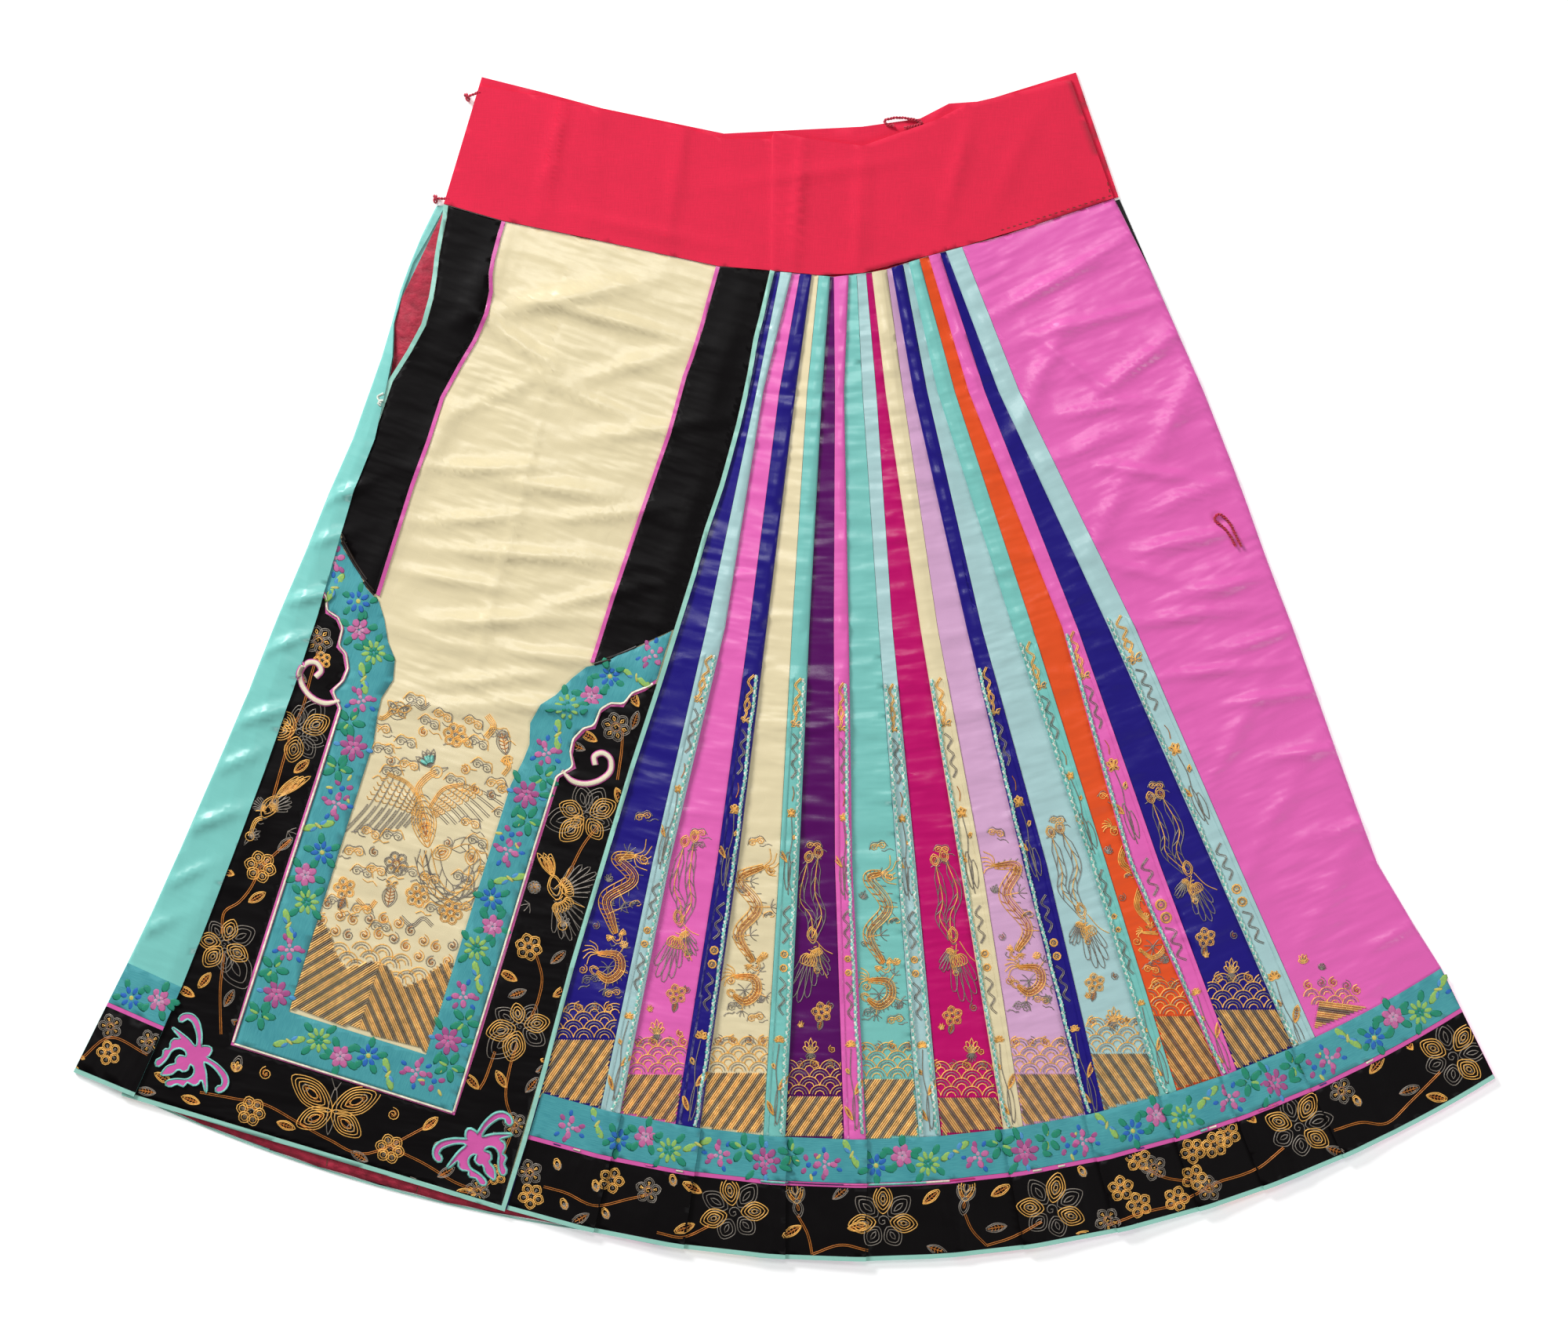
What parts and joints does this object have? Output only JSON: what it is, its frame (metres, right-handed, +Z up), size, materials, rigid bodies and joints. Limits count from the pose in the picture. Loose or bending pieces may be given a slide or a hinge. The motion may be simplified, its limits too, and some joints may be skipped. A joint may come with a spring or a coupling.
{
  "type": "apron skirt",
  "caption": "Pleated apron skirt laid flat: red waistband, bordered cream door panel, many-coloured gores in knife pleats, plain pink and mint end panels, ribbon and black hem.",
  "frame": {"origin": "middle of the skirt's footprint, on the surface it lies on", "axes": "+X to the wearer's left as seen in the picture (right of the picture), +Y from hem to waistband, +Z up from the surface, out of the front of the skirt"},
  "size_m": [1.2323, 1.03, 0.0089],
  "materials": {
    "red_cotton": "plain-woven cotton, slubby, matt",
    "red_lining": "thin plain-woven silk or cotton lining, dull sheen",
    "mint_satin": "silk satin, woven and slightly creased",
    "black_satin": "silk satin, woven and slightly creased, couched with gold and silver thread",
    "cream_satin": "silk satin, woven and slightly creased, couched with gold and silver thread",
    "navy_satin": "silk satin, woven and slightly creased, couched with gold and silver thread",
    "light_blue_satin": "silk satin, woven and slightly creased, couched with gold and silver thread",
    "pink_satin": "silk satin, woven and slightly creased",
    "purple_satin": "silk satin, woven and slightly creased, couched with gold and silver thread",
    "magenta_satin": "silk satin, woven and slightly creased, couched with gold and silver thread",
    "lilac_satin": "silk satin, woven and slightly creased, couched with gold and silver thread",
    "orange_satin": "silk satin, woven and slightly creased, couched with gold and silver thread",
    "ribbon_brocade": "woven brocade ribbon, teal ground with flowers and leaves",
    "pink_piping": "folded satin piping with a cream edge",
    "mint_binding": "narrow folded satin binding, twisted cord braid",
    "red_cord": "sewn cotton cord"
  },
  "bodies": {
    "root": {"back_door": "cream_satin", "back_hem_binding": "mint_binding", "back_pleats": "navy_satin", "door_binding": "mint_binding", "door_border_left": "black_satin", "door_border_lower": "black_satin", "door_border_right": "black_satin", "door_corner_left": "pink_piping", "door_corner_right": "pink_piping", "door_hook_left": "pink_piping", "door_hook_right": "pink_piping", "door_panel": "cream_satin", "door_piping_left": "pink_piping", "door_piping_lower": "pink_piping", "door_piping_right": "pink_piping", "door_ribbon": "ribbon_brocade", "gore_01": "navy_satin", "gore_02": "light_blue_satin", "gore_03": "pink_satin", "gore_04": "navy_satin", "gore_05": "cream_satin", "gore_06": "mint_satin", "gore_07": "purple_satin", "gore_08": "pink_satin", "gore_09": "mint_satin", "gore_10": "light_blue_satin", "gore_11": "magenta_satin", "gore_12": "cream_satin", "gore_13": "lilac_satin", "gore_14": "navy_satin", "gore_15": "light_blue_satin", "gore_16": "mint_satin", "gore_17": "orange_satin", "gore_18": "pink_satin", "gore_19": "navy_satin", "gore_20": "light_blue_satin", "hem_band": "black_satin", "hem_binding": "mint_binding", "hem_piping": "pink_piping", "hem_ribbon": "ribbon_brocade", "knot_button_1": "red_cord", "knot_button_2": "red_cord", "lining": "red_lining", "loop_back": "red_cord", "loop_pink": "red_cord", "mint_band": "black_satin", "mint_binding": "mint_binding", "mint_panel": "mint_satin", "mint_piping": "pink_piping", "mint_ribbon": "ribbon_brocade", "pink_panel": "pink_satin", "waistband_back": "red_cotton", "waistband_front": "red_cotton"}
  },
  "joints": []
}
